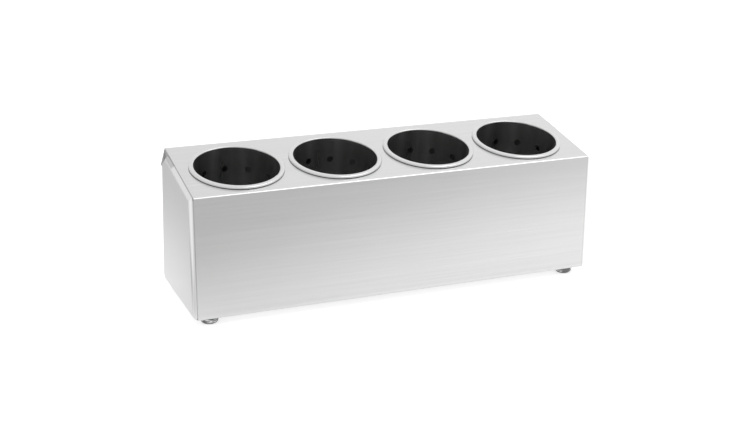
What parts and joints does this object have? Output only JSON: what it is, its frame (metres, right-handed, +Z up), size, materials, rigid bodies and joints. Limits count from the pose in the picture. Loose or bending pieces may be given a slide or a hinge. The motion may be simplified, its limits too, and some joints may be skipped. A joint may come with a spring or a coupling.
{
  "type": "cutlery dispenser",
  "caption": "Countertop cutlery dispenser: a folded steel housing with a sloping top and a row of perforated cups that lift out.",
  "frame": {"origin": "on the counter, under the middle of the housing", "axes": "+X along the width, -Y towards the user (the front face), +Z up"},
  "size_m": [0.49, 0.1432, 0.1735],
  "materials": {
    "brushed_steel_sheet": "brushed along the sheet's length",
    "cup_steel": "satin, with a polished rim",
    "polished_metal": "polished",
    "fastener_steel": "bright, plated"
  },
  "bodies": {
    "housing": {"front_and_top_shell": "brushed_steel_sheet", "back_panel": "brushed_steel_sheet", "left_end_panel": "brushed_steel_sheet", "right_end_panel": "brushed_steel_sheet", "front_left_foot": "polished_metal", "front_right_foot": "polished_metal", "rear_left_foot": "polished_metal", "rear_right_foot": "polished_metal", "foot_washers": "fastener_steel", "foot_screws": "fastener_steel", "nut_washers": "fastener_steel", "foot_nuts": "fastener_steel"},
    "cup_1_body": {"cup_1": "cup_steel", "cup_floor_1": "cup_steel"},
    "cup_2_body": {"cup_2": "cup_steel", "cup_floor_2": "cup_steel"},
    "cup_3_body": {"cup_3": "cup_steel", "cup_floor_3": "cup_steel"},
    "cup_4_body": {"cup_4": "cup_steel", "cup_floor_4": "cup_steel"}
  },
  "joints": [
    {"name": "cup_1_lift", "type": "slide", "parent": "housing", "child": "cup_1_body", "axis": [0, -0.1908, 0.9816], "range_m": [0, 0.145]},
    {"name": "cup_2_lift", "type": "slide", "parent": "housing", "child": "cup_2_body", "axis": [0, -0.1908, 0.9816], "range_m": [0, 0.145]},
    {"name": "cup_3_lift", "type": "slide", "parent": "housing", "child": "cup_3_body", "axis": [0, -0.1908, 0.9816], "range_m": [0, 0.145]},
    {"name": "cup_4_lift", "type": "slide", "parent": "housing", "child": "cup_4_body", "axis": [0, -0.1908, 0.9816], "range_m": [0, 0.145]}
  ]
}
